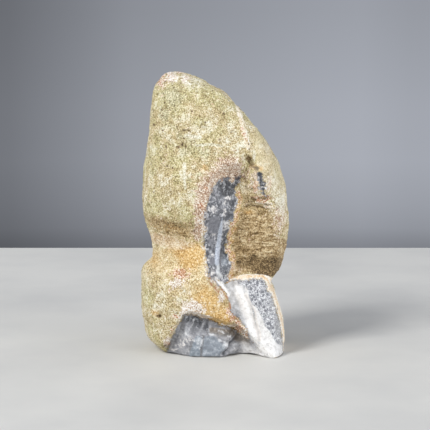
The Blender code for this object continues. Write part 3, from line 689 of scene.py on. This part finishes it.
for region, spots in ((front, RIND_SPOTS), (on_strip, STRIP_SPOTS), (on_fracture, FRACTURE_SPOTS)):
    for name, places in spots.items():
        tints[name] = tints.get(name, 0) + region * soft_spots(places, x, z)
for name, amount in tints.items():
    layer = agate.data.attributes.new(name, 'FLOAT', 'POINT')
    layer.data.foreach_set("value", np.clip(amount, 0, 1).astype(np.float32))

# The finish: one material, whose colours follow the tints and whose grain has its own fine relief
agate_finish = bpy.data.materials.new("agate")
agate_finish.use_nodes = True
tree = agate_finish.node_tree
surface = tree.nodes["Principled BSDF"]
agate.data.materials.clear()
agate.data.materials.append(agate_finish)


def add_node(kind, inputs, **settings):
    """Adds a node, sets its named settings, and sets or links its inputs."""
    made = tree.nodes.new("ShaderNode" + kind)
    for name, value in settings.items():
        setattr(made, name, value)
    for socket, value in inputs.items():
        if isinstance(value, bpy.types.NodeSocket):
            tree.links.new(value, made.inputs[socket])
        else:
            made.inputs[socket].default_value = value
    return made


place = add_node("TexCoord", {}).outputs["Object"]


def grains(size, detail=2.0, distortion=0.0, stretch=(1, 1, 1)):
    """Noise with grains of about this size in millimetres, centred on a half."""
    moved = add_node("Mapping", {"Vector": place, "Scale": stretch}).outputs[0]
    return add_node("TexNoise", {"Vector": moved, "Scale": 1 / (size * MM), "Detail": detail,
                                 "Roughness": 0.6, "Distortion": distortion}).outputs[0]


def span(value, low, high, start=0.0, end=1.0):
    """Value's rise from low to high, as a smooth rise from start to end."""
    return add_node("MapRange", {"Value": value, "From Min": low, "From Max": high, "To Min": start,
                                 "To Max": end}, interpolation_type='SMOOTHSTEP').outputs[0]


def plus(first, second):
    return add_node("Math", {0: first, 1: second}, operation='ADD').outputs[0]


def times(first, second):
    return add_node("Math", {0: first, 1: second}, operation='MULTIPLY').outputs[0]


def moved_by(waver, amount, value):
    """Value, moved up and down by a waver that is centred on a half."""
    return plus(value, times(plus(waver, -0.5), amount))


def mix(amount, first, second):
    return add_node("Mix", {0: amount, 6: first, 7: second}, data_type='RGBA').outputs[2]


def shades(value, stops):
    """Colours along a value, as (position, red, green, blue)."""
    made = add_node("ValToRGB", {0: value})
    elements = made.color_ramp.elements
    while len(elements) < len(stops):
        elements.new(0.5)
    for element, (position, red, green, blue) in zip(elements, stops):
        element.position = position
        element.color = (red, green, blue, 1)
    return made.outputs[0]


def tint(name):
    return add_node("Attribute", {}, attribute_name=name).outputs["Fac"]


def ragged(name, grain, amount, width=0.12):
    """A place on the skin with an edge broken up by the grain."""
    return span(moved_by(grain, amount, tint(name)), 0.5 - width, 0.5 + width)


def add_up(first, weight, second):
    """A weighted mean of two values."""
    return plus(times(first, weight), times(second, 1 - weight))


# The rind's grain, from sand to broad patches, in millimetres
fine = grains(0.44, 2.0, 0.4)
medium = grains(1.3, 3.0)
patches = grains(3.6, 4.0)
broad = grains(12.0, 3.0)
cells = add_node("TexVoronoi", {"Vector": place, "Scale": 1 / (0.56 * MM)}).outputs["Color"]
sand = add_up(fine, 0.82, span(cells, 0, 1, 0.25, 0.75))
GRAIN_CONTRAST = 1.46
even_grain = add_up(add_up(sand, 0.86, medium), 0.80, patches)
grain = plus(times(even_grain, GRAIN_CONTRAST), 0.5 * (1 - GRAIN_CONTRAST))

# The rind's tints, each a ramp of colours along the grain, laid over one another
khaki = shades(grain, ((0.36, 0.17, 0.13, 0.05), (0.44, 0.42, 0.35, 0.155), (0.50, 0.60, 0.52, 0.26),
                       (0.56, 0.71, 0.64, 0.37), (0.66, 0.90, 0.86, 0.62)))
tan = shades(grain, ((0.36, 0.20, 0.14, 0.05), (0.44, 0.45, 0.345, 0.165), (0.50, 0.64, 0.52, 0.28),
                     (0.56, 0.74, 0.63, 0.38), (0.66, 0.92, 0.85, 0.63)))
pale = shades(grain, ((0.36, 0.34, 0.27, 0.14), (0.44, 0.60, 0.54, 0.37), (0.52, 0.80, 0.76, 0.59),
                      (0.62, 0.96, 0.94, 0.84)))
straw = shades(grain, ((0.36, 0.32, 0.20, 0.08), (0.44, 0.57, 0.42, 0.20), (0.50, 0.74, 0.58, 0.315),
                       (0.56, 0.82, 0.70, 0.44), (0.64, 0.97, 0.92, 0.74)))
ochre = shades(grain, ((0.36, 0.34, 0.16, 0.04), (0.44, 0.55, 0.315, 0.09), (0.50, 0.68, 0.42, 0.15),
                       (0.56, 0.78, 0.55, 0.24), (0.65, 0.94, 0.81, 0.52)))
sandy = add_up(grain, 0.6, sand)
rust = shades(sandy, ((0.38, 0.25, 0.08, 0.03), (0.45, 0.52, 0.24, 0.11), (0.50, 0.69, 0.40, 0.22),
                      (0.54, 0.84, 0.63, 0.46), (0.59, 0.95, 0.88, 0.80)))
pink = shades(sandy, ((0.42, 0.32, 0.18, 0.11), (0.465, 0.50, 0.32, 0.21), (0.50, 0.67, 0.475, 0.32),
                      (0.535, 0.79, 0.655, 0.50), (0.58, 0.93, 0.87, 0.77)))
petal = shades(sandy, ((0.42, 0.46, 0.31, 0.19), (0.465, 0.71, 0.56, 0.42), (0.505, 0.88, 0.79, 0.67),
                       (0.56, 0.97, 0.95, 0.91)))
blush = shades(grain, ((0.38, 0.42, 0.26, 0.12), (0.46, 0.67, 0.49, 0.28), (0.52, 0.80, 0.635, 0.41),
                       (0.62, 0.93, 0.85, 0.68)))
ridge = shades(grain, ((0.38, 0.58, 0.42, 0.22), (0.48, 0.84, 0.73, 0.53), (0.58, 0.97, 0.93, 0.82)))
# The brown of the painted shade and of the dark spots
brown = shades(grain, ((0.40, 0.05, 0.03, 0.012), (0.46, 0.11, 0.068, 0.026), (0.54, 0.23, 0.15, 0.065),
                       (0.62, 0.40, 0.295, 0.155)))
long_way = add_node("Mapping", {"Vector": place, "Scale": (0.30, 0.5, 1.0), "Rotation": (0, 0.22, 0)})
streaks = add_node("TexNoise", {"Vector": long_way.outputs[0], "Scale": 1 / (0.7 * MM),
                                "Detail": 2.0}).outputs[0]
# Brown of the valley and the waist, dark enough to paint their shade
umber_and_shade = shades(add_up(streaks, 0.3, grain),
               ((0.38, 0.11, 0.06, 0.02), (0.45, 0.28, 0.18, 0.072), (0.50, 0.43, 0.30, 0.145),
                (0.55, 0.57, 0.42, 0.225), (0.63, 0.82, 0.70, 0.46)))
moss = shades(grain, ((0.36, 0.13, 0.11, 0.05), (0.44, 0.35, 0.31, 0.16), (0.50, 0.50, 0.45, 0.26),
                      (0.56, 0.64, 0.59, 0.37), (0.64, 0.88, 0.84, 0.62)))
mottle = add_up(add_up(patches, 0.6, fine), 0.75, broad)
PALE_STREAK = (0.80, 0.69, 0.47, 1)
DARK_STREAK = (0.22, 0.14, 0.06, 1)
PIT_BROWN = (0.13, 0.08, 0.04, 1)
SPECK_BROWN = (0.16, 0.10, 0.05, 1)
SOFT_TAN = (0.84, 0.72, 0.49, 1)
colour = mix(span(broad, 0.42, 0.58), khaki, tan)
colour = mix(span(mottle, 0.505, 0.64), colour, pale)
colour = mix(ragged("moss", patches, 2.0, 0.40), colour, moss)
colour = mix(ragged("straw", medium, 1.0, 0.45), colour, straw)
colour = mix(ragged("umber_and_shade", medium, 1.0, 0.45), colour, umber_and_shade)
colour = mix(times(tint("streaked"), span(streaks, 0.53, 0.62)), colour, PALE_STREAK)
colour = mix(times(tint("streaked"), span(streaks, 0.46, 0.38)), colour, DARK_STREAK)
# The last layer, brown, is painted shade in hollows and under overhangs, and real dark spots
for name, layer, raggedness, softness in (
        ("ochre", ochre, 1.2, 0.45), ("blush", blush, 1.2, 0.40), ("pale", pale, 1.6, 0.30),
        ("ridge", ridge, 2.2, 0.30), ("pink", pink, 1.8, 0.25), ("petal", petal, 1.8, 0.25),
        ("rust", rust, 2.4, 0.20), ("shade_and_dark_spots", brown, 1.2, 0.35)):
    colour = mix(ragged(name, medium, raggedness, softness), colour, layer)
colour = mix(ragged("pit", fine, 0.8, 0.20), colour, PIT_BROWN)
colour = mix(span(grains(0.85, 1.0), 0.285, 0.22), colour, SPECK_BROWN)
colour = mix(times(tint("soft"), 0.30), colour, SOFT_TAN)

# The rim: cream along both its edges and peach between, with stains
RIM_STAIN = (0.76, 0.49, 0.24, 1)
peach = shades(grain, ((0.38, 0.60, 0.35, 0.15), (0.45, 0.90, 0.65, 0.38), (0.51, 0.97, 0.83, 0.60),
                       (0.60, 0.99, 0.95, 0.85)))
cream = shades(grain, ((0.40, 0.85, 0.73, 0.57), (0.50, 0.98, 0.93, 0.83), (0.60, 0.99, 0.97, 0.93)))
rim = mix(span(moved_by(fine, 0.20, tint("from_rim")), 0.12, 0.20), cream, peach)
rim = mix(span(moved_by(medium, 0.15, tint("from_rim")), 0.305, 0.375), rim, cream)
rim = mix(times(span(medium, 0.53, 0.59), 0.5), rim, RIM_STAIN)
colour = mix(ragged("rim", fine, 0.9, 0.2), colour, rim)

# The chalcedony inside: crystals in the strip, tints of the fracture, bands and cells of the face
BLEB_GREY = (0.18, 0.185, 0.205, 1)
COMB_GREY = (0.42, 0.43, 0.45, 1)
EDGE_SHADE_GREY = (0.13, 0.13, 0.13, 1)
GLINT_GREY = (0.66, 0.67, 0.69, 1)
CREASE_TAN = (0.90, 0.78, 0.66, 1)
CREASE_SHADE_GREY = (0.42, 0.42, 0.425, 1)
SHADOW_LINE_BLACK = (0.05, 0.05, 0.06, 1)
crystal_cells = add_node("TexVoronoi", {"Vector": place, "Scale": 1 / (1.0 * MM)}).outputs["Color"]
cloud = add_up(medium, 0.7, grains(3.4, 3.0))
crystal = add_up(span(crystal_cells, 0, 1, 0.3, 0.7), 0.40, add_up(fine, 0.55, grains(1.4, 2.0, 1.0)))
rings = grains(1.25, 1.5, 0.8)
slate = shades(cloud, ((0.34, 0.08, 0.085, 0.10), (0.50, 0.165, 0.17, 0.185), (0.66, 0.34, 0.35, 0.38)))
pewter = shades(cloud, ((0.34, 0.18, 0.18, 0.195), (0.50, 0.305, 0.31, 0.33), (0.66, 0.48, 0.48, 0.50)))
# Smoky grey, also the colour of the painted shade in the strip and on the fracture
smoke_and_shade = shades(add_up(crystal, 0.5, medium), ((0.42, 0.025, 0.027, 0.032), (0.48, 0.06, 0.064, 0.074),
                                              (0.53, 0.12, 0.125, 0.14), (0.60, 0.38, 0.39, 0.41)))
sugar = shades(crystal, ((0.40, 0.06, 0.065, 0.075), (0.47, 0.12, 0.125, 0.14), (0.52, 0.25, 0.255, 0.28),
                         (0.58, 0.62, 0.62, 0.64)))
frost = shades(cloud, ((0.36, 0.44, 0.46, 0.48), (0.52, 0.62, 0.64, 0.66), (0.66, 0.80, 0.81, 0.82)))
chalk = shades(crystal, ((0.40, 0.20, 0.20, 0.21), (0.47, 0.42, 0.41, 0.41), (0.52, 0.66, 0.63, 0.61),
                         (0.58, 0.86, 0.83, 0.80)))
blebs = add_node("TexVoronoi", {"Vector": place, "Scale": 1 / (1.15 * MM)})
dark_bleb = times(span(blebs.outputs["Color"], 0.34, 0.44),
                  span(moved_by(fine, 0.5, blebs.outputs["Distance"]), 0.57, 0.37))
speckle = shades(add_up(fine, 0.6, medium), ((0.40, 0.27, 0.27, 0.28), (0.50, 0.37, 0.37, 0.38),
                                             (0.545, 0.49, 0.49, 0.49), (0.58, 0.78, 0.78, 0.78)))
celled = shades(add_up(fine, 0.7, rings), ((0.42, 0.24, 0.245, 0.265), (0.50, 0.41, 0.415, 0.43),
                                           (0.56, 0.75, 0.755, 0.77)))
speckle = mix(ragged("cells", medium, 1.0, 0.25), speckle, mix(dark_bleb, celled, BLEB_GREY))
blue = shades(cloud, ((0.36, 0.16, 0.185, 0.215), (0.52, 0.235, 0.272, 0.31), (0.66, 0.40, 0.44, 0.49)))
taupe = shades(cloud, ((0.36, 0.11, 0.095, 0.08), (0.52, 0.22, 0.19, 0.16), (0.66, 0.40, 0.36, 0.32)))
milk = shades(add_up(cloud, 0.8, fine), ((0.36, 0.68, 0.66, 0.63), (0.48, 0.90, 0.88, 0.85),
                                         (0.60, 0.97, 0.96, 0.945)))
flat = shades(medium, ((0.35, 0.15, 0.155, 0.18), (0.65, 0.26, 0.265, 0.29)))
dark = shades(crystal, ((0.44, 0.02, 0.022, 0.027), (0.50, 0.05, 0.053, 0.062), (0.56, 0.10, 0.105, 0.12),
                        (0.62, 0.38, 0.39, 0.40)))
blue_line = shades(fine, ((0.40, 0.37, 0.41, 0.49), (0.60, 0.66, 0.70, 0.77)))
inside = mix(tint("pewter"), slate, pewter)
inside = mix(tint("sugar"), inside, sugar)
inside = mix(ragged("flat", medium, 1.0, 0.20), inside, flat)
inside = mix(ragged("smoke_and_shade", medium, 1.4, 0.35), inside, smoke_and_shade)
# dark: the chip's own dark grey, and painted shade at the strip's top
inside = mix(ragged("dark", medium, 1.4, 0.30), inside, dark)
inside = mix(tint("blue"), inside, blue)
inside = mix(ragged("taupe", medium, 0.6, 0.45), inside, taupe)
inside = mix(span(tint("comb"), 0.5, 0.85, 0.0, 0.5), inside, COMB_GREY)
inside = mix(ragged("frost", medium, 0.9, 0.35), inside, frost)
inside = mix(ragged("chalk", medium, 1.8, 0.20), inside, chalk)
# Painted shade along the facets' edges and arcs, then painted highlights along their lit edges
inside = mix(times(tint("edge_shade"), 0.55), inside, EDGE_SHADE_GREY)
inside = mix(times(tint("glint"), span(medium, 0.40, 0.55)), inside, GLINT_GREY)
inside = mix(moved_by(add_up(medium, 0.5, fine), 0.6, tint("milk")), inside, milk)
inside = mix(times(span(tint("from_crease"), 0.30, 0.10), 0.30), inside, CREASE_TAN)
# Painted shade along the crease between the bright bands
inside = mix(times(span(tint("from_crease"), 0.18, 0.03), 0.30), inside, CREASE_SHADE_GREY)
inside = mix(ragged("speckled", medium, 0.6, 0.20), inside, speckle)
inside = mix(times(span(tint("from_blue"), 0.25, 0.13), 0.95), inside, blue_line)
# Painted shadow beside the blue line
inside = mix(times(span(tint("from_shadow_line"), 0.14, 0.03), 0.7), inside, SHADOW_LINE_BLACK)

# Where the rind is broken off, with the red strokes beside the banded face
STROKE_RED = (0.50, 0.26, 0.13, 1)
bare_place = span(moved_by(add_up(fine, 0.6, medium), 1.0, tint("bare")), 0.46, 0.54)
colour = mix(bare_place, colour, inside)
colour = mix(times(span(tint("from_red"), 0.13, 0.05), span(medium, 0.36, 0.5)), colour, STROKE_RED)

# The sawn flat: a dark line at its very edge, painted contact shadow, then bands from a thin tan rind in to
# the middle, dulled by the saw
SAW_GREY = (0.62, 0.60, 0.57, 1)
bands = moved_by(broad, 0.35, tint("depth"))
flat_bands = shades(bands, ((0.0, 0.14, 0.12, 0.10), (0.03, 0.52, 0.40, 0.25), (0.06, 0.80, 0.66, 0.46),
                            (0.09, 0.36, 0.37, 0.40), (0.16, 0.24, 0.25, 0.28), (0.18, 0.72, 0.72, 0.72),
                            (0.21, 0.30, 0.32, 0.36), (0.30, 0.42, 0.45, 0.50), (0.33, 0.78, 0.78, 0.78),
                            (0.38, 0.84, 0.83, 0.81), (0.42, 0.34, 0.35, 0.38), (0.52, 0.26, 0.27, 0.30),
                            (0.56, 0.60, 0.61, 0.63), (0.62, 0.38, 0.40, 0.44), (0.75, 0.20, 0.21, 0.23),
                            (0.82, 0.55, 0.55, 0.56)))
flat_finish = mix(times(span(fine, 0.40, 0.60), 0.25), flat_bands, SAW_GREY)
colour = mix(span(tint("sawn"), 0.4, 0.6), colour, flat_finish)

RIND_ROUGHNESS = 0.88
BARE_ROUGHNESS = 0.45
BUMP_HEIGHT = 0.55
BARE_BUMP = 0.45
tree.links.new(colour, surface.inputs["Base Color"])
tree.links.new(span(bare_place, 0, 1, RIND_ROUGHNESS, BARE_ROUGHNESS), surface.inputs["Roughness"])
bumps = times(grain, span(bare_place, 0, 1, 1.0, BARE_BUMP))
bump = add_node("Bump", {"Height": bumps, "Strength": 1.0, "Distance": BUMP_HEIGHT * MM})
tree.links.new(bump.outputs[0], surface.inputs["Normal"])

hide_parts("agate_nodule")
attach(agate, "root")
